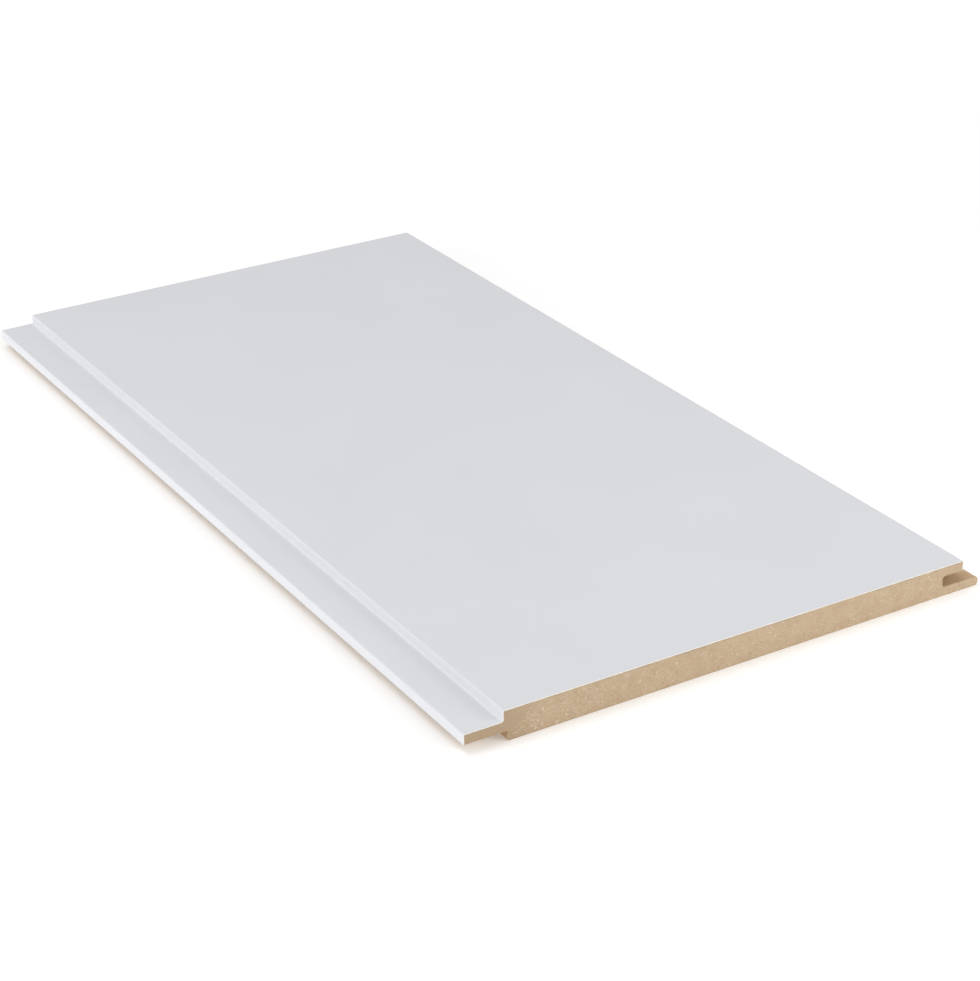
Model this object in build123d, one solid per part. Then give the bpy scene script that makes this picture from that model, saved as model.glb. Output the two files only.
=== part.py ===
"""Tongue-and-groove MDF wall panel with a white foil wrapped over its face.

The panel lies face up. X runs across it from the tongue to the groove, Y runs along its length and Z
points up from the underside. The origin is on the underside, below the middle of the panel.
"""

import os

from build123d import *

# Panel sizes, in millimetres
panel_length = 411.0  # from one sawn end to the other
panel_thickness = 12.0  # from the underside to the white face, foil included
face_width = 195.0  # from the shoulder to the edge of the upper lip
foil_thickness = 0.3

# Joint sizes: how the tongue of one panel fits the groove of the next
tongue_length = 15.1  # from the shoulder to the tip
tongue_thickness = 4.0  # foil on its upper side included
upper_lip_thickness = 4.0  # from the face to the roof of the groove
play_above = 0.1  # room in the groove above the tongue, small, so that the faces of two panels come level
play_below = 0.3  # room in the groove below the tongue
tip_play = 0.3  # room between the tongue's tip and the root of the groove
joint_width = 6.0  # strip of the tongue that stays in sight between two laid panels
undercut = 1.7  # how far the wall under the tongue stands back from the shoulder
nose_play = 0.3  # room between the lower lip's nose and the wall under the next tongue

# Edge radii
face_edge_radius = 0.6  # both long edges of the face
shoulder_foot_radius = 0.8  # hollow where the shoulder meets the tongue
tongue_tip_radius = 0.6  # upper edge of the tip
tongue_root_radius = 0.5  # hollow where the tongue meets the wall below it
groove_root_radius = 1.2  # both hollows at the root of the groove
lip_nose_radius = 1.5  # both edges of the lower lip's nose
underside_edge_radius = 0.6  # edge between the underside and the wall under the tongue

# Heights above the underside
groove_roof = panel_thickness - upper_lip_thickness
tongue_top = groove_roof - play_above
tongue_bottom = tongue_top - tongue_thickness
groove_floor = tongue_bottom - play_below  # also the lower lip's thickness

# Depth of the groove and reach of the lower lip, so that the next panel's tongue side closes on them
groove_depth = tongue_length - joint_width + tip_play
lower_lip_reach = joint_width + undercut - nose_play

# Places across the width, from the tongue's tip to the lower lip's nose
overall_width = tongue_length + face_width + lower_lip_reach
tip_x = -overall_width / 2
shoulder_x = tip_x + tongue_length
wall_x = shoulder_x + undercut
upper_lip_x = shoulder_x + face_width
groove_root_x = upper_lip_x - groove_depth
nose_x = upper_lip_x + lower_lip_reach

# A round edge takes at most this share of the wall that it rounds
LARGEST_SHARE = 0.45
nose_radius = min(lip_nose_radius, LARGEST_SHARE * groove_floor)
root_radius = min(groove_root_radius, LARGEST_SHARE * (groove_roof - groove_floor))

# The section is drawn as corners with a radius each, as (x, height, radius)
FOILED_CORNERS = [
    (tip_x, tongue_bottom, 0),
    (tip_x, tongue_top, tongue_tip_radius),
    (shoulder_x, tongue_top, shoulder_foot_radius),
    (shoulder_x, panel_thickness, face_edge_radius),
    (upper_lip_x, panel_thickness, face_edge_radius),
    (upper_lip_x, groove_roof, 0),
]
BARE_CORNERS = [
    (groove_root_x, groove_roof, root_radius),
    (groove_root_x, groove_floor, root_radius),
    (nose_x, groove_floor, nose_radius),
    (nose_x, 0, nose_radius),
    (wall_x, 0, underside_edge_radius),
    (wall_x, tongue_bottom, tongue_root_radius),
]


def points(corners):
    return [(x, height) for x, height, radius in corners]


def radii(corners):
    return [radius for x, height, radius in corners]


def panel_section():
    """The whole section, foil included."""
    corners = FOILED_CORNERS + BARE_CORNERS
    return make_face(FilletPolyline(*points(corners), radius=radii(corners), close=True).edges())


def foil_section():
    """The foil: a strip of even thickness just inside the outer line, from the tongue's tip to the groove."""
    outer_line = FilletPolyline(*points(FOILED_CORNERS), radius=radii(FOILED_CORNERS[1:-1]))
    return make_face(outer_line.offset_2d(foil_thickness, side=Side.RIGHT).edges())


def run_to_length(section):
    """A section drawn in X and Z, run along the panel's length to both sides of the origin."""
    return extrude(Plane.XZ * section, amount=panel_length / 2, both=True)


face_foil = run_to_length(foil_section())
mdf_core = run_to_length(panel_section() - foil_section())

os.makedirs("parts", exist_ok=True)
export_step(mdf_core, "parts/mdf_core.step")
export_step(face_foil, "parts/face_foil.step")
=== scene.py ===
# %% [markdown]
# # A foil-faced tongue-and-groove panel
#
# The object is a short length of wall board. It is MDF, milled to a tongue along one long edge and to a
# groove along the other, with a white foil wrapped over the side that shows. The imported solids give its
# exact sizes. This lesson dresses them: finer pieces are run out from the same section, the sawn ends
# get their torn fibres, and each way the board was worked gets a finish of its own.

import math
import random

import bpy
from mathutils import Matrix, Vector, geometry, kdtree


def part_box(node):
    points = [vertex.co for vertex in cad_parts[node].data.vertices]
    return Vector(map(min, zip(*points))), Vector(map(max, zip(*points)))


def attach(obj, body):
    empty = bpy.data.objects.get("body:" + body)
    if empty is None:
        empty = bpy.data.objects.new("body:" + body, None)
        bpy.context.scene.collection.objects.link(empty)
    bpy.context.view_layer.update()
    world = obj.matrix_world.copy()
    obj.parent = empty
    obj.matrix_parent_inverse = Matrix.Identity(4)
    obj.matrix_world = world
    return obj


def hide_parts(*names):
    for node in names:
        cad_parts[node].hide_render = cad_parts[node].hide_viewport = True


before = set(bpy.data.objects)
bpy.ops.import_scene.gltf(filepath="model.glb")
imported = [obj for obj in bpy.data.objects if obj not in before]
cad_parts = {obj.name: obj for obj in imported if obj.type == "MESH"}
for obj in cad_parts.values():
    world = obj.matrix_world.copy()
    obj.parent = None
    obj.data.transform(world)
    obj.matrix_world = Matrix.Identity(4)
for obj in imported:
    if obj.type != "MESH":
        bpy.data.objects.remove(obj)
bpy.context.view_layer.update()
core_low, core_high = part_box("mdf_core")
foil_low, foil_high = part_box("face_foil")
panel_length = core_high.y - core_low.y
print("solids", sorted(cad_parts), "length", round(panel_length, 4), "m")

# %% [markdown]
# ## The camera
#
# The view is from the tongue's side, over the near sawn end, with a long lens. A camera can be set by
# eye, but the edges of a rectangle in perspective are enough to work out where it stood, so its place,
# aim, roll and focal length come from the edges of the white face and are only written down here.

# %% Set up the camera
PICTURE_SIDE = 981
FOCAL_PIXELS = 2515.5
SENSOR_MM = 36.0
CAMERA_PLACE = Vector((-0.45462, -0.81234, 0.43689))
CAMERA_AIM = Vector((-0.01393, -0.06466, 0.01311))
CAMERA_ROLL = math.radians(-1.09)


def add_camera():
    lens = bpy.data.cameras.new("camera")
    lens.sensor_width = SENSOR_MM
    lens.lens = FOCAL_PIXELS * SENSOR_MM / PICTURE_SIDE
    camera = bpy.data.objects.new("camera", lens)
    turn = (CAMERA_AIM - CAMERA_PLACE).to_track_quat("-Z", "Y").to_matrix().to_4x4()
    camera.matrix_world = Matrix.Translation(CAMERA_PLACE) @ turn @ Matrix.Rotation(CAMERA_ROLL, 4, "Z")
    bpy.context.scene.collection.objects.link(camera)
    bpy.context.scene.camera = camera
    return camera


camera = add_camera()
print("lens", round(camera.data.lens, 2), "mm")

# %% [markdown]
# ## Writing nodes as formulas
#
# Materials and Geometry Nodes are both trees of nodes. Linking each one by hand hides the idea behind a
# wall of calls, so a small class wraps an output: adding or multiplying two of them adds the Math node
# that does it. All other nodes come from one method, which sets the node's settings first and then its
# sockets.

# %% Node trees that take formulas
def pick(sockets, key):
    if isinstance(key, int):
        return sockets[key]
    return next(socket for socket in sockets if key in (socket.identifier, socket.name))


class Value:
    """An output in a node tree. Arithmetic on it adds Math nodes."""

    def __init__(self, sheet, output):
        self.sheet = sheet
        self.output = output

    def maths(self, operation, *values):
        return self.sheet.add("ShaderNodeMath", {"operation": operation}, dict(enumerate(values)))

    def beside(self, key):
        return Value(self.sheet, pick(self.output.node.outputs, key))

    def __add__(self, other):
        return self.maths("ADD", self, other)

    def __sub__(self, other):
        return self.maths("SUBTRACT", self, other)

    def __rsub__(self, other):
        return self.maths("SUBTRACT", other, self)

    def __mul__(self, other):
        return self.maths("MULTIPLY", self, other)

    def __rtruediv__(self, other):
        return self.maths("DIVIDE", other, self)

    def __gt__(self, other):
        return self.maths("GREATER_THAN", self, other)

    def __lt__(self, other):
        return self.maths("LESS_THAN", self, other)

    def __abs__(self):
        return self.maths("ABSOLUTE", self)

    __radd__ = __add__
    __rmul__ = __mul__


class Sheet:
    """A node tree that nodes are added to, a material's or a modifier's."""

    def __init__(self, tree):
        self.tree = tree

    def add(self, kind, settings=None, sockets=None, output=0):
        node = self.tree.nodes.new(kind)
        for name, setting in (settings or {}).items():
            setattr(node, name, setting)
        for key, value in (sockets or {}).items():
            socket = pick(node.inputs, key)
            for each in value if isinstance(value, list) else [value]:
                if isinstance(each, Value):
                    self.tree.links.new(each.output, socket)
                else:
                    socket.default_value = each
        return Value(self, pick(node.outputs, output)) if len(node.outputs) else node

    def fade(self, value, start, stop, first=0.0, last=1.0):
        """Goes softly from first to last while the value goes from start to stop."""
        sockets = {"Value": value, "From Min": start, "From Max": stop, "To Min": first, "To Max": last}
        return self.add("ShaderNodeMapRange", {"interpolation_type": "SMOOTHSTEP"}, sockets)


print("formulas ready")

# %% [markdown]
# ## Light and floor
#
# White board on a white floor needs light that is soft but not even, or its own edges vanish. A softbox
# hangs overhead, a little to the tongue's side. One stands low on that side too, so that the shoulder
# and the tongue's tip are lighter than the face. A third faces the sawn end from the groove's side and
# leaves a soft shade along the shoulder's foot. A pale sky fills in the rest. The floor is a table that
# glows, faintly by the panel, so that its shadow stays, and fully where the softboxes no longer reach,
# so that it is white as far as one sees.

# %% Add the lights and the floor
FLOOR_SIDE = 80.0
FLOOR_WHITE = (0.97, 0.97, 0.97, 1.0)
FLOOR_ROUGHNESS = 0.9
GLOW_BY_PANEL = 0.15
GLOW_FAR_OFF = 0.8
GLOW_RISES_FROM = 0.4
GLOW_RISES_TO = 1.2
SKY_WHITE = (1.0, 1.0, 1.0, 1.0)
SKY_STRENGTH = 0.6
SOFTBOXES = {
    "overhead_softbox": {"place": (-0.6, 0.3, 1.9), "aim": (0.0, 0.1, 0.0), "side": 1.2, "watts": 9.2},
    "side_softbox": {"place": (-1.1, 0.1, 0.25), "aim": (0.0, 0.0, 0.0), "side": 0.5, "watts": 3.8},
    "end_softbox": {"place": (0.6, -0.95, 0.45), "aim": (0.05, -0.2, 0.0), "side": 0.6, "watts": 4.7},
}


def add_softbox(name, place, aim, side, watts):
    lamp = bpy.data.lights.new(name, "AREA")
    lamp.size = side
    lamp.energy = watts
    softbox = bpy.data.objects.new(name, lamp)
    softbox.location = place
    softbox.rotation_euler = (Vector(aim) - Vector(place)).to_track_quat("-Z", "Y").to_euler()
    bpy.context.scene.collection.objects.link(softbox)


def add_sky():
    world = bpy.data.worlds.new("pale_sky")
    world.use_nodes = True
    background = world.node_tree.nodes["Background"]
    background.inputs["Color"].default_value = SKY_WHITE
    background.inputs["Strength"].default_value = SKY_STRENGTH
    bpy.context.scene.world = world


def add_floor():
    half = FLOOR_SIDE / 2
    mesh = bpy.data.meshes.new("floor")
    corners = [(-half, -half, 0), (half, -half, 0), (half, half, 0), (-half, half, 0)]
    mesh.from_pydata(corners, [], [(0, 1, 2, 3)])
    material = bpy.data.materials.new("pale_floor")
    material.use_nodes = True
    sheet = Sheet(material.node_tree)
    place = sheet.add("ShaderNodeTexCoord", output="Object")
    away = sheet.add("ShaderNodeVectorMath", {"operation": "LENGTH"}, {0: place}, "Value")
    glow = sheet.fade(away, GLOW_RISES_FROM, GLOW_RISES_TO, GLOW_BY_PANEL, GLOW_FAR_OFF)
    shader = material.node_tree.nodes["Principled BSDF"]
    shader.inputs["Base Color"].default_value = FLOOR_WHITE
    shader.inputs["Roughness"].default_value = FLOOR_ROUGHNESS
    shader.inputs["Emission Strength"].default_value = 1.0
    sheet.tree.links.new(glow.output, shader.inputs["Emission Color"])
    mesh.materials.append(material)
    floor = bpy.data.objects.new("floor", mesh)
    bpy.context.scene.collection.objects.link(floor)


for name, setup in SOFTBOXES.items():
    add_softbox(name, **setup)
add_sky()
add_floor()
bpy.context.scene.view_settings.view_transform = "Standard"
print("softboxes", sorted(SOFTBOXES))

# %% [markdown]
# ## The section
#
# A profiled board is one section run to length, so everything starts from that section. Its outer
# limits are read off the solids, and the joint's few sizes are those that the board is milled to. The
# solids' round edges have few facets, so the section is drawn again with finer arcs: each corner is a
# point with a radius.

# %% Sizes across the section
MM = 0.001
tongue_length = 15.1 * MM
upper_lip_thickness = 4.0 * MM
tongue_thickness = 4.0 * MM
play_above = 0.1 * MM
play_below = 0.3 * MM
groove_depth = 9.4 * MM
undercut = 1.7 * MM
face_edge_radius = 0.6 * MM
shoulder_foot_radius = 0.8 * MM
tongue_tip_radius = 0.6 * MM
tongue_root_radius = 0.5 * MM
groove_root_radius = 1.2 * MM
lip_nose_radius = 1.5 * MM
underside_edge_radius = 0.6 * MM

foil_thickness = foil_high.z - core_high.z
face_top = foil_high.z
groove_roof = face_top - upper_lip_thickness
tongue_top = groove_roof - play_above
tongue_bottom = tongue_top - tongue_thickness
groove_floor = tongue_bottom - play_below
tip_x = foil_low.x
shoulder_x = tip_x + tongue_length
wall_x = shoulder_x + undercut
lip_x = foil_high.x
root_x = lip_x - groove_depth
nose_x = core_high.x
print("foil", round(foil_thickness / MM, 2), "mm")
print("tongue underside off by", round(tongue_bottom - foil_low.z, 6), "m")

# %% [markdown]
# The foil's inner line is its outer line moved in by its thickness: an outward corner gets a smaller
# radius and the hollow at the shoulder's foot a larger one. The core fills what is left, down to the
# bare milled edges.

# %% Corners of the foil and of the core
def foil_line(inset):
    """The wrapped line from under the tongue's tip to the groove's mouth, moved into the board by inset."""
    return [
        (tip_x + inset, tongue_bottom, 0),
        (tip_x + inset, tongue_top - inset, tongue_tip_radius - inset),
        (shoulder_x + inset, tongue_top - inset, shoulder_foot_radius + inset),
        (shoulder_x + inset, face_top - inset, face_edge_radius - inset),
        (lip_x - inset, face_top - inset, face_edge_radius - inset),
        (lip_x - inset, groove_roof, 0),
    ]


bare_line = [
    (root_x, groove_roof, groove_root_radius),
    (root_x, groove_floor, groove_root_radius),
    (nose_x, groove_floor, lip_nose_radius),
    (nose_x, 0, lip_nose_radius),
    (wall_x, 0, underside_edge_radius),
    (wall_x, tongue_bottom, tongue_root_radius),
]
core_corners = foil_line(foil_thickness) + bare_line
foil_corners = foil_line(0) + foil_line(foil_thickness)[::-1]
print("corners", len(core_corners), "in the core,", len(foil_corners), "in the foil")

# %% Draw a section with round corners
ARC_STEPS = 8
RUN_STEP = 0.7 * MM


def rounded(corners):
    """A closed outline through right-angled corners, with an arc at each and the straight runs divided."""
    outline = []
    for place, (x, z, radius) in enumerate(corners):
        corner = Vector((x, z))
        before = (Vector(corners[place - 1][:2]) - corner).normalized()
        after = (Vector(corners[(place + 1) % len(corners)][:2]) - corner).normalized()
        centre = corner + radius * (before + after)
        steps = ARC_STEPS if radius else 0
        for step in range(steps + 1):
            angle = math.pi / 2 * step / max(steps, 1)
            outline.append(centre - radius * (after * math.cos(angle) + before * math.sin(angle)))
    return divided(outline, RUN_STEP)


def divided(outline, step):
    """The closed outline with its runs divided into pieces of about this length."""
    points = []
    for start, end in zip(outline, outline[1:] + outline[:1]):
        pieces = max(1, round((end - start).length / step))
        points += [start.lerp(end, piece / pieces) for piece in range(pieces)]
    return points


core_outline = rounded(core_corners)
foil_outline = rounded(foil_corners)
print("outline points", len(core_outline), "and", len(foil_outline))

# %% [markdown]
# The sawn end needs a fine skin of triangles, because its torn surface is real relief. A constrained
# Delaunay triangulation takes the outline and a bed of jittered points and joins them. Each point keeps
# its distance from the rim and from the foil as attributes, so that later steps can stay clear of the
# one and find the other.

# %% Fill a section with triangles
END_CELL = 0.55 * MM
END_JITTER = 0.3
DISTANCE_STEP = 0.1 * MM
BLOCKS = [
    (tip_x, tongue_bottom, wall_x, tongue_top),
    (shoulder_x, tongue_top, root_x, face_top),
    (wall_x, 0, root_x, tongue_top),
    (root_x, groove_roof, lip_x, face_top),
    (root_x, 0, nose_x, groove_floor),
]


def bed_of_points(seed):
    draw = random.Random(seed)
    points = []
    for left, low, right, high in BLOCKS:
        columns = int((right - left) / END_CELL)
        rows = int((high - low) / END_CELL)
        for column in range(columns):
            for row in range(rows):
                across = column + 0.5 + draw.uniform(-END_JITTER, END_JITTER)
                up = row + 0.5 + draw.uniform(-END_JITTER, END_JITTER)
                x = left + across * (right - left) / columns
                z = low + up * (high - low) / rows
                points.append(Vector((x, z)))
    return points


def section_mesh(name, outline, filling):
    """The outline in X and Z as a flat mesh of triangles that look along -Y."""
    edges = [(place, (place + 1) % len(outline)) for place in range(len(outline))]
    points, _, triangles, *_ = geometry.delaunay_2d_cdt(outline + filling, edges, [], 1, 1e-7)
    used = sorted({corner for triangle in triangles for corner in triangle})
    place_of = {corner: place for place, corner in enumerate(used)}
    mesh = bpy.data.meshes.new(name)
    corners = [(points[corner].x, 0, points[corner].y) for corner in used]
    mesh.from_pydata(corners, [], [[place_of[corner] for corner in triangle] for triangle in triangles])
    return mesh


def keep_distance(mesh, name, line):
    """Each point's distance from a line in X and Z, kept as an attribute of the mesh."""
    near = kdtree.KDTree(len(line))
    for place, (x, z) in enumerate(line):
        near.insert((x, 0, z), place)
    near.balance()
    distances = mesh.attributes.new(name, "FLOAT", "POINT")
    distances.data.foreach_set("value", [near.find(corner.co)[2] for corner in mesh.vertices])


core_section = section_mesh("mdf_board", core_outline, bed_of_points(seed=4))
foil_section = section_mesh("wrapped_foil", foil_outline, [])
keep_distance(core_section, "rim_distance", divided(core_outline, DISTANCE_STEP))
keep_distance(core_section, "foil_distance", divided(foil_outline, DISTANCE_STEP))
print("triangles", len(core_section.polygons), "and", len(foil_section.polygons))

# %% [markdown]
# ## MDF
#
# MDF is wood ground to fibres and pressed with resin. A saw tears the fibres and leaves pale slivers
# and dark specks in a brown ground, a milling cutter leaves fine lines along the board, and a sander
# leaves the back smooth and even. One function mixes the ground that all three share. Photographed wood
# would do it too, but a pattern on object coordinates has no seams and holds at any distance.

# %% Colours and small patterns
def paint(red, green, blue):
    """A screen colour, 0 to 255, as the linear colour that shaders take."""
    def linear(part):
        part = part / 255
        return part / 12.92 if part <= 0.04045 else ((part + 0.055) / 1.055) ** 2.4

    return (linear(red), linear(green), linear(blue), 1.0)


class Finish(Sheet):
    """A new material, with the patterns that its finish is mixed from."""

    def __init__(self, name):
        self.material = bpy.data.materials.new(name)
        self.material.use_nodes = True
        super().__init__(self.material.node_tree)
        self.shader = self.tree.nodes["Principled BSDF"]
        self.place = self.add("ShaderNodeTexCoord", output="Object")

    def cloud(self, size, detail=2.0, stretch=(1, 1, 1), turn=(0, 0, 0)):
        """Soft noise with patches of about this size, drawn out along turned axes."""
        scale = tuple(size * part for part in stretch)
        angles = tuple(math.radians(angle) for angle in turn)
        sockets = {"Vector": self.place, "Scale": scale, "Rotation": angles}
        grid = self.add("ShaderNodeMapping", {"vector_type": "TEXTURE"}, sockets)
        return self.add("ShaderNodeTexNoise", {}, {"Vector": grid, "Scale": 1.0, "Detail": detail})

    def mix(self, factor, first, second):
        colours = {"Factor_Float": factor, "A_Color": first, "B_Color": second}
        return self.add("ShaderNodeMix", {"data_type": "RGBA"}, colours, "Result_Color")

    def bump(self, height, depth):
        sockets = {"Height": height, "Distance": depth, "Strength": 1.0}
        return self.add("ShaderNodeBump", {}, sockets)

    def feed(self, **sockets):
        for name, value in sockets.items():
            self.tree.links.new(value.output, self.shader.inputs[name.replace("_", " ")])
        return self.material


print("finishes ready")

# %% The ground that all MDF shares
MDF_BROWN = paint(193, 170, 140)
MDF_SHADE = paint(186, 161, 131)
MDF_PALE = paint(208, 189, 164)
MDF_FIBRE = paint(218, 201, 178)
MDF_CHIP = paint(216, 197, 167)
# The next colour darkens the fine fuzz, and is also the painted shade mixed in towards the shoulder.
MDF_DARK_FUZZ_AND_SHADE = paint(165, 142, 113)
MDF_MILLED = paint(198, 157, 114)
MDF_GLUED = paint(152, 139, 126)
MDF_SPECK = paint(128, 98, 68)
MOTTLE_SIZE = 4 * MM
MOTTLE_STEP = (0.3, 0.7)
FIBRE_SIZE = 0.6 * MM
FIBRE_STEP = (0.62, 0.76)
FIBRE_STRETCH = (4, 1, 1)
FIBRE_TURNS = [(0, 20, 10), (0, 78, -15), (20, -38, 70), (-30, 5, 120)]
DUST_SIZE = 0.7 * MM
DUST_STEP = (0.72, 0.8)


def mdf_ground(finish, pale, specks):
    """Brown mottling with pale fibres and dark specks. Gives the colour and a height for bump."""
    mottle = finish.fade(finish.cloud(MOTTLE_SIZE, 4.0), *MOTTLE_STEP)
    colour = finish.mix(mottle, MDF_SHADE, MDF_BROWN)
    streaks = [finish.cloud(FIBRE_SIZE, 1.0, FIBRE_STRETCH, turn) for turn in FIBRE_TURNS]
    masks = [finish.fade(streak, *FIBRE_STEP) for streak in streaks]
    fibres = sum(masks[1:], masks[0])
    fibres = fibres.maths("MINIMUM", fibres, 1.0)
    colour = finish.mix(fibres * pale, colour, MDF_PALE)
    dust = finish.fade(finish.cloud(DUST_SIZE, 1.0), *DUST_STEP)
    colour = finish.mix(dust * specks, colour, MDF_SPECK)
    return colour, fibres - dust


print("fibre directions", len(FIBRE_TURNS))

# %% [markdown]
# The sawn end is not the same all over. Beside the shoulder it is smooth, then comes its most torn part,
# and towards the groove it calms down. Its colour is mixed darker towards the shoulder, most beside it
# and a little over the torn part: that darkening is painted shade. A fine fuzz fills the ground between
# the fibres, and under the foil a little glue has soaked in.

# %% Sawn MDF
RUBBED_REACH = 15 * MM
# The next share is painted shade, mixed in beside the shoulder.
SHOULDER_PAINTED_SHADE = 0.55
CALM_FROM = 30 * MM
CALM_TO = 75 * MM
# The next share is painted shade, mixed in a little over the torn part.
TORN_PAINTED_SHADE = 0.12
FUZZ_SIZE = 0.2 * MM
FUZZ_SHARE = 0.5
FUZZ_PALE = (0.5, 0.65)
FUZZ_DARK = (0.5, 0.35)
GLUE_START = 0.1 * MM
GLUE_REACH = 0.9 * MM
GLUE_SHARE = 0.6
GLUE_PATCH = 7 * MM
GLUE_STEP = (0.4, 0.65)
DULL_PATCH = 1.2 * MM
SAWN_DEPTH = 0.08 * MM


def sawn_mdf():
    finish = Finish("sawn_mdf")
    across = finish.add("ShaderNodeSeparateXYZ", {}, {0: finish.place}, "X")
    torn = finish.fade(across, shoulder_x, shoulder_x + RUBBED_REACH)
    calm = finish.fade(across, shoulder_x + CALM_FROM, shoulder_x + CALM_TO)
    pale = 0.08 + 0.3 * torn - 0.18 * calm
    colour, height = mdf_ground(finish, pale, specks=0.2 + 0.3 * torn)
    first, second = [finish.cloud(FUZZ_SIZE, 3.0, FIBRE_STRETCH, turn) for turn in FIBRE_TURNS[:2]]
    fuzz = (first + second) * 0.5
    colour = finish.mix(finish.fade(fuzz, *FUZZ_PALE) * FUZZ_SHARE, colour, MDF_PALE)
    colour = finish.mix(finish.fade(fuzz, *FUZZ_DARK) * FUZZ_SHARE, colour, MDF_DARK_FUZZ_AND_SHADE)
    # Painted shade: the colour goes darker towards the shoulder.
    painted_shade = (1 - torn) * SHOULDER_PAINTED_SHADE + (1 - calm) * TORN_PAINTED_SHADE
    colour = finish.mix(painted_shade, colour, MDF_DARK_FUZZ_AND_SHADE)
    from_foil = finish.add("ShaderNodeAttribute", {"attribute_name": "foil_distance"}, {}, "Fac")
    close = 1 - finish.fade(from_foil, GLUE_START, GLUE_REACH)
    glue = close * finish.fade(finish.cloud(GLUE_PATCH), *GLUE_STEP)
    colour = finish.mix(glue * GLUE_SHARE, colour, MDF_GLUED)
    roughness = 0.9 - 0.1 * finish.cloud(DULL_PATCH)
    relief = finish.bump(height + fuzz, SAWN_DEPTH)
    return finish.feed(Base_Color=colour, Roughness=roughness, Normal=relief)


sawn = sawn_mdf()
print("made", sawn.name)

# %% Milled and sanded MDF
CUTTER_LINE = 0.25 * MM
CUTTER_STRETCH = (1, 400, 1)
CUTTER_STEP = (0.35, 0.75)
MILLED_DEPTH = 0.06 * MM
SCRATCH = 0.2 * MM
SCRATCH_STRETCH = (1, 120, 1)
SANDED_DEPTH = 0.02 * MM


def milled_mdf():
    finish = Finish("milled_mdf")
    colour, height = mdf_ground(finish, pale=0.25, specks=0.35)
    lines = finish.cloud(CUTTER_LINE, 2.0, CUTTER_STRETCH)
    colour = finish.mix(0.3 + 0.4 * finish.fade(lines, *CUTTER_STEP), colour, MDF_MILLED)
    roughness = 0.85 - 0.15 * lines
    relief = finish.bump(lines + 0.3 * height, MILLED_DEPTH)
    return finish.feed(Base_Color=colour, Roughness=roughness, Normal=relief)


def sanded_mdf():
    finish = Finish("sanded_mdf")
    colour, height = mdf_ground(finish, pale=0.3, specks=0.25)
    scratches = finish.cloud(SCRATCH, 2.0, SCRATCH_STRETCH)
    roughness = 0.62 + 0.2 * scratches
    relief = finish.bump(scratches + height, SANDED_DEPTH)
    return finish.feed(Base_Color=colour, Roughness=roughness, Normal=relief)


milled, sanded = milled_mdf(), sanded_mdf()
print("made", milled.name, sanded.name)

# %% [markdown]
# ## White foil
#
# The foil is a satin film, glued on under pressure. It is nearly even, but never quite: its sheen
# drifts a little, a very fine grain breaks up reflections, and the board below shows through as the
# faintest waves. Its cut edge at the sawn ends is whiter and duller than its face, because the saw has
# torn it.

# %% Satin foil and its cut edge
FOIL_WHITE = paint(222, 223, 227)
FOIL_SHADE = paint(217, 218, 222)
FOIL_CUT = paint(240, 236, 228)
FOIL_CUT_SHADE = paint(226, 221, 212)
SHEEN_DRIFT = 45 * MM
FOIL_GRAIN = 0.5 * MM
FOIL_WAVE = 14 * MM
FOIL_DEPTH = 0.02 * MM
TEAR_SIZE = 0.6 * MM
TEAR_STEP = (0.35, 0.65)
TEAR_DEPTH = 0.05 * MM


def satin_foil():
    finish = Finish("satin_white_foil")
    drift = finish.cloud(SHEEN_DRIFT, 3.0)
    grain = finish.cloud(FOIL_GRAIN, 2.0)
    waves = finish.cloud(FOIL_WAVE, 1.0)
    colour = finish.mix(drift, FOIL_SHADE, FOIL_WHITE)
    roughness = 0.57 + 0.1 * drift + 0.06 * grain
    relief = finish.bump(grain * 0.05 + waves, FOIL_DEPTH)
    return finish.feed(Base_Color=colour, Roughness=roughness, Normal=relief)


def torn_foil():
    finish = Finish("cut_foil_edge")
    tears = finish.cloud(TEAR_SIZE, 3.0)
    colour = finish.mix(finish.fade(tears, *TEAR_STEP), FOIL_CUT_SHADE, FOIL_CUT)
    roughness = 0.7 + 0.2 * tears
    relief = finish.bump(tears, TEAR_DEPTH)
    return finish.feed(Base_Color=colour, Roughness=roughness, Normal=relief)


foil_face, foil_cut = satin_foil(), torn_foil()
print("made", foil_face.name, foil_cut.name)

# %% [markdown]
# ## Running the section to length
#
# Both pieces are a section run along the board, which is a rule, so one Geometry Nodes tree makes them.
# It turns a copy of the section round and pushes it out to the far end, closes the near end with the
# section itself, and moves the ends' points by noise, as the saw left them. Materials go by where a
# face looks: along the board, down, or elsewhere.

# %% Trees with named inputs
def new_tree(name, inputs):
    """A new tree with these inputs. Gives its sheet, its inputs as values and its output node."""
    tree = bpy.data.node_groups.new(name, "GeometryNodeTree")
    tree.interface.new_socket("Geometry", in_out="OUTPUT", socket_type="NodeSocketGeometry")
    for label, kind in inputs.items():
        tree.interface.new_socket(label, in_out="INPUT", socket_type="NodeSocket" + kind)
    sheet = Sheet(tree)
    first = sheet.add("NodeGroupInput")
    given = {label: first.beside(label) for label in inputs}
    return sheet, given, tree.nodes.new("NodeGroupOutput")


print("trees take named inputs")

# %% Push a section out and tear its ends
MERGE_DISTANCE = 0.001 * MM
END_MARGIN = 0.01 * MM
RELIEF_DETAIL = 3.0


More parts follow.
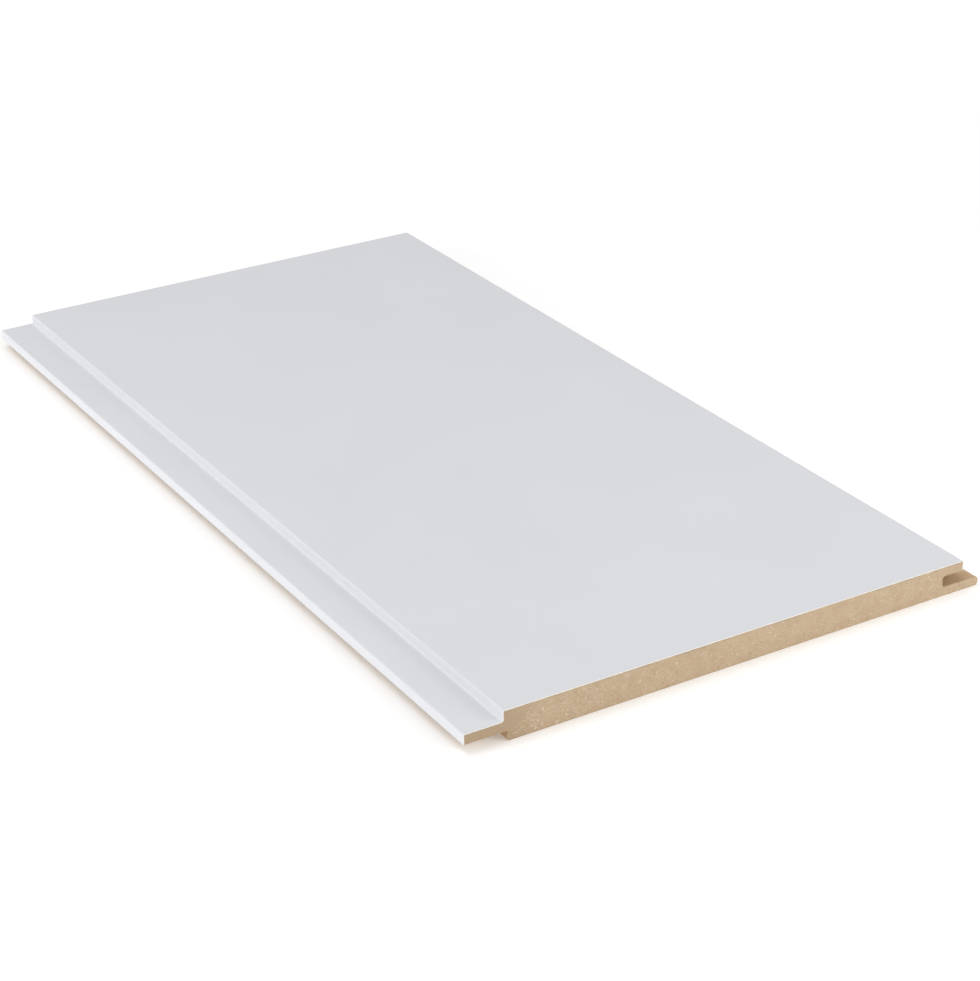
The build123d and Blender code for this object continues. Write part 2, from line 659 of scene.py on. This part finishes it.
def pushed_out(sheet, given):
    """The section as a closed run, with its middle at the origin."""
    turned = sheet.add("GeometryNodeFlipFaces", {}, {"Mesh": given["Section"]})
    way = sheet.add("ShaderNodeCombineXYZ", {}, {"Y": given["Length"]})
    push = {"Mesh": turned, "Offset": way, "Offset Scale": 1.0, "Individual": False}
    pushed = sheet.add("GeometryNodeExtrudeMesh", {"mode": "FACES"}, push)
    joined = sheet.add("GeometryNodeJoinGeometry", {}, {"Geometry": [given["Section"], pushed]})
    merge = {"Geometry": joined, "Distance": MERGE_DISTANCE}
    closed = sheet.add("GeometryNodeMergeByDistance", {}, merge)
    to_middle = sheet.add("ShaderNodeCombineXYZ", {}, {"Y": given["Length"] * -0.5})
    return sheet.add("GeometryNodeSetPosition", {}, {"Geometry": closed, "Offset": to_middle})


def torn_ends(sheet, given, run):
    """The run with the points of both ends moved along it by noise."""
    place = sheet.add("GeometryNodeInputPosition")
    along = sheet.add("ShaderNodeSeparateXYZ", {}, {0: place}, "Y")
    noise = {"Vector": place, "Scale": 1.0 / given["Relief size"], "Detail": RELIEF_DETAIL}
    tear = (sheet.add("ShaderNodeTexNoise", {}, noise) - 0.5) * given["Saw relief"]
    offset = sheet.add("ShaderNodeCombineXYZ", {}, {"Y": tear})
    at_end = abs(along) > given["Length"] * 0.5 - END_MARGIN
    moved = {"Geometry": run, "Selection": at_end, "Offset": offset}
    return sheet.add("GeometryNodeSetPosition", {}, moved)


print("points within", END_MARGIN / MM, "mm of an end are torn")

# %% The tree that runs a section to length
LOOKS_ALONG = 0.7
LOOKS_DOWN = -0.9


def facing(sheet):
    """How far a face looks along the board. Its other two directions lie beside."""
    normal = sheet.add("GeometryNodeInputNormal")
    return sheet.add("ShaderNodeSeparateXYZ", {}, {0: normal}, "Y")


def section_run():
    inputs = {
        "Section": "Geometry",
        "Length": "Float",
        "Saw relief": "Float",
        "Relief size": "Float",
        "Long faces": "Material",
        "Sawn ends": "Material",
        "Underside": "Material",
    }
    sheet, given, end = new_tree("run_section_to_length", inputs)
    board = torn_ends(sheet, given, pushed_out(sheet, given))
    looks = facing(sheet)
    low = looks.beside("Z") < LOOKS_DOWN
    outer = abs(looks) > LOOKS_ALONG
    whole = sheet.add("GeometryNodeRealizeInstances", {}, {"Geometry": board})
    faced = sheet.add("GeometryNodeSetMaterial", {}, {"Geometry": whole, "Material": given["Long faces"]})
    down = {"Geometry": faced, "Selection": low, "Material": given["Underside"]}
    faced = sheet.add("GeometryNodeSetMaterial", {}, down)
    ends = {"Geometry": faced, "Selection": outer, "Material": given["Sawn ends"]}
    faced = sheet.add("GeometryNodeSetMaterial", {}, ends)
    sheet.tree.links.new(faced.output, end.inputs["Geometry"])
    return sheet.tree


run_to_length = section_run()
print("tree", run_to_length.name, "with", len(run_to_length.nodes), "nodes")

# %% Run both pieces out
SAW_RELIEF = 0.08 * MM
SAW_RELIEF_SIZE = 1.4 * MM
FOIL_RELIEF = 0.1 * MM
SHARP_ANGLE = math.radians(35)


def keep_result(piece, tree, values):
    """Runs a tree on a piece with these inputs and keeps the result as the piece's plain mesh."""
    modifier = piece.modifiers.new(tree.name, "NODES")
    modifier.node_group = tree
    for item in tree.interface.items_tree:
        if item.in_out == "INPUT" and item.name in values:
            modifier[item.identifier] = values[item.name]
    graph = bpy.context.evaluated_depsgraph_get()
    mesh = bpy.data.meshes.new_from_object(piece.evaluated_get(graph), depsgraph=graph)
    piece.modifiers.remove(modifier)
    piece.data = mesh
    while mesh.materials[0] is None:
        mesh.materials.pop(index=0)
    return mesh


def run_piece(section, relief, long_faces, sawn_ends, underside):
    piece = bpy.data.objects.new(section.name, section)
    bpy.context.scene.collection.objects.link(piece)
    values = {
        "Length": panel_length,
        "Saw relief": relief,
        "Relief size": SAW_RELIEF_SIZE,
        "Long faces": long_faces,
        "Sawn ends": sawn_ends,
        "Underside": underside,
    }
    mesh = keep_result(piece, run_to_length, values)
    mesh.shade_smooth()
    mesh.set_sharp_from_angle(angle=SHARP_ANGLE)
    return piece


board = run_piece(core_section, SAW_RELIEF, milled, sawn, sanded)
foil = run_piece(foil_section, FOIL_RELIEF, foil_face, foil_cut, foil_face)
print("faces", len(board.data.polygons), "in the board,", len(foil.data.polygons), "in the foil")

# %% [markdown]
# ## Torn fibres on the sawn ends
#
# Where the saw went through, pale bundles of fibre stand a hair above the brown ground, and broader
# chips of wood and dark grains of bark lie among them. Each is a tiny closed sliver. They could be
# painted, but a sliver also catches light on its side, so a second Geometry Nodes tree scatters them
# over the ends, clear of the rim, each turned and sized at random.

# %% Where the slivers lie
PATCH_STEP = (0.35, 0.65)
BETWEEN_PATCHES = 0.3
UNDER_FACE = 0.15
WHERE_RUBBED = 0.05
WHERE_CALM = 0.35


def sliver_spots(sheet, given):
    """Points on the sawn ends, in patches, thinner under the face, on the smooth part beside the shoulder
    and where the end is calm.
    """
    place = sheet.add("GeometryNodeInputPosition")
    across = sheet.add("ShaderNodeSeparateXYZ", {}, {0: place}, "X")
    patch = {"Vector": place, "Scale": 1.0 / given["Patch size"], "Detail": 1.0}
    noise = sheet.add("ShaderNodeTexNoise", {}, patch)
    patchy = sheet.fade(noise, *PATCH_STEP, BETWEEN_PATCHES, 1.0)
    dense = sheet.fade(across.beside("Z"), given["Dense from"], given["Dense to"], 1.0, UNDER_FACE)
    torn = sheet.fade(across, given["Rubbed from"], given["Rubbed to"], WHERE_RUBBED, 1.0)
    calm = sheet.fade(across, given["Calm from"], given["Calm to"], 1.0, WHERE_CALM)
    spread = {
        "Mesh": given["Board"],
        "Selection": abs(facing(sheet)) > LOOKS_ALONG,
        "Density": given["Density"] * patchy * dense * torn * calm,
        "Seed": given["Seed"],
    }
    return sheet.add("GeometryNodeDistributePointsOnFaces", {}, spread)


print("calm parts keep", WHERE_CALM, "of the slivers")

# %% How the slivers are turned and sized
TILT = 0.2
LENGTH_SPAN = (0.4, 1.3)
WIDTH_SPAN = (0.6, 1.4)
LENGTH_ROOM = 1.7
WIDTH_ROOM = 0.8


def chance(sheet, given, low, high, draw):
    """A random number for each sliver. Every draw has a seed of its own."""
    sockets = {"Min_001": low, "Max_001": high, "Seed": given["Seed"] + draw}
    return sheet.add("FunctionNodeRandomValue", {"data_type": "FLOAT"}, sockets, "Value_001")


def sliver_turns(sheet, given, spots):
    """Flat on the end, leaning to either side and tilted a little."""
    axes = {"Primary Axis": spots.beside("Normal"), "Secondary Axis": (1.0, 0.0, 0.0)}
    ways = {"primary_axis": "Z", "secondary_axis": "X"}
    level = sheet.add("FunctionNodeAxesToRotation", ways, axes)
    lean = chance(sheet, given, -1.0 * given["Lean"], given["Lean"], draw=1)
    tilt = chance(sheet, given, -TILT, TILT, draw=2)
    spin = sheet.add("ShaderNodeCombineXYZ", {}, {"X": tilt, "Z": lean})
    turn = sheet.add("FunctionNodeEulerToRotation", {}, {"Euler": spin})
    turns = {"Rotation": level, "Rotate By": turn}
    return sheet.add("FunctionNodeRotateRotation", {"rotation_space": "LOCAL"}, turns)


def sliver_sizes(sheet, given):
    """Lengths and widths at random, but no larger than the room up to the rim."""
    attribute = {"Name": "rim_distance"}
    room = sheet.add("GeometryNodeInputNamedAttribute", {"data_type": "FLOAT"}, attribute)
    length = given["Length"] * chance(sheet, given, *LENGTH_SPAN, draw=3)
    width = given["Width"] * chance(sheet, given, *WIDTH_SPAN, draw=4)
    sides = {
        "X": length.maths("MINIMUM", length, LENGTH_ROOM * room),
        "Y": width.maths("MINIMUM", width, WIDTH_ROOM * room),
        "Z": given["Height"],
    }
    return sheet.add("ShaderNodeCombineXYZ", {}, sides)


print("slivers are", *LENGTH_SPAN, "of the given length")

# %% One sliver, and the tree that scatters it
SLIVER_SEGMENTS = 5
SLIVER_RINGS = 6


def one_sliver(sheet, given):
    """A small ball of size 1, laid along X and bowed. Each copy is drawn out to its own size."""
    sockets = {"Radius": 0.5, "Segments": SLIVER_SEGMENTS, "Rings": SLIVER_RINGS}
    ball = sheet.add("GeometryNodeMeshUVSphere", {}, sockets)
    lay = {"Geometry": ball, "Rotation": (0, math.pi / 2, 0)}
    lying = sheet.add("GeometryNodeTransform", {}, lay)
    place = sheet.add("GeometryNodeInputPosition")
    along = sheet.add("ShaderNodeSeparateXYZ", {}, {0: place}, "X")
    bow = sheet.add("ShaderNodeCombineXYZ", {}, {"Y": along * along * given["Bend"]})
    return sheet.add("GeometryNodeSetPosition", {}, {"Geometry": lying, "Offset": bow})


def sliver_scatter():
    numbers = ["Density", "Length", "Width", "Height", "Bend", "Lean", "Dense from", "Dense to"]
    numbers += ["Rubbed from", "Rubbed to", "Calm from", "Calm to", "Patch size"]
    inputs = {"Board": "Geometry"}
    inputs.update({label: "Float" for label in numbers})
    inputs.update({"Seed": "Int", "Sliver": "Material"})
    sheet, given, end = new_tree("scatter_slivers", inputs)
    spots = sliver_spots(sheet, given)
    copies = {
        "Points": spots,
        "Instance": one_sliver(sheet, given),
        "Rotation": sliver_turns(sheet, given, spots),
        "Scale": sliver_sizes(sheet, given),
    }
    slivers = sheet.add("GeometryNodeInstanceOnPoints", {}, copies)
    whole = sheet.add("GeometryNodeRealizeInstances", {}, {"Geometry": slivers})
    faced = sheet.add("GeometryNodeSetMaterial", {}, {"Geometry": whole, "Material": given["Sliver"]})
    sheet.tree.links.new(faced.output, end.inputs["Geometry"])
    return sheet.tree


scatter = sliver_scatter()
print("tree", scatter.name, "with", len(scatter.nodes), "nodes")

# %% Scatter pale fibres, chips and dark grains
TINT_SIZE = 0.8 * MM


def sliver_finish(name, first, second):
    finish = Finish(name)
    tint = finish.cloud(TINT_SIZE)
    return finish.feed(Base_Color=finish.mix(tint, first, second), Roughness=0.8 + 0.15 * tint)


pale = sliver_finish("pale_fibre", MDF_BROWN, MDF_FIBRE)
chip = sliver_finish("wood_chip", MDF_PALE, MDF_CHIP)
dark = sliver_finish("dark_grain", MDF_SPECK, MDF_SHADE)
SPREAD = {
    "Dense from": face_top - 3.5 * MM,
    "Dense to": face_top - 0.5 * MM,
    "Rubbed from": shoulder_x,
    "Rubbed to": shoulder_x + RUBBED_REACH,
    "Calm from": shoulder_x + CALM_FROM,
    "Calm to": shoulder_x + CALM_TO,
    "Patch size": 12 * MM,
}
SLIVERS = {
    "pale_fibres": {
        "Density": 0.5 / MM ** 2,
        "Length": 2.0 * MM,
        "Width": 0.28 * MM,
        "Height": 0.12 * MM,
        "Bend": 1.1,
        "Lean": math.radians(60),
        "Seed": 11,
        "Sliver": pale,
    },
    "wood_chips": {
        "Density": 0.06 / MM ** 2,
        "Length": 1.5 * MM,
        "Width": 0.5 * MM,
        "Height": 0.1 * MM,
        "Bend": 0.5,
        "Lean": math.radians(80),
        "Seed": 37,
        "Sliver": chip,
    },
    "dark_grains": {
        "Density": 0.08 / MM ** 2,
        "Length": 0.6 * MM,
        "Width": 0.4 * MM,
        "Height": 0.1 * MM,
        "Bend": 0.4,
        "Lean": math.radians(90),
        "Seed": 23,
        "Sliver": dark,
    },
}


def scatter_slivers(name, values):
    piece = bpy.data.objects.new(name, board.data)
    bpy.context.scene.collection.objects.link(piece)
    keep_result(piece, scatter, {**SPREAD, **values})
    return piece


slivers = [scatter_slivers(name, values) for name, values in SLIVERS.items()]
sliver_faces = SLIVER_SEGMENTS * SLIVER_RINGS
print("slivers", {piece.name: len(piece.data.polygons) // sliver_faces for piece in slivers})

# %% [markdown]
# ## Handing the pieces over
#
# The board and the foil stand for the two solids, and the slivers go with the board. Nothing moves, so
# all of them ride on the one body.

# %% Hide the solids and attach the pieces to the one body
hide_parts("mdf_core")
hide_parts("face_foil")
for piece, slot in [(board, "mdf"), (foil, "white_foil")] + [(piece, "mdf") for piece in slivers]:
    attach(piece, "root")
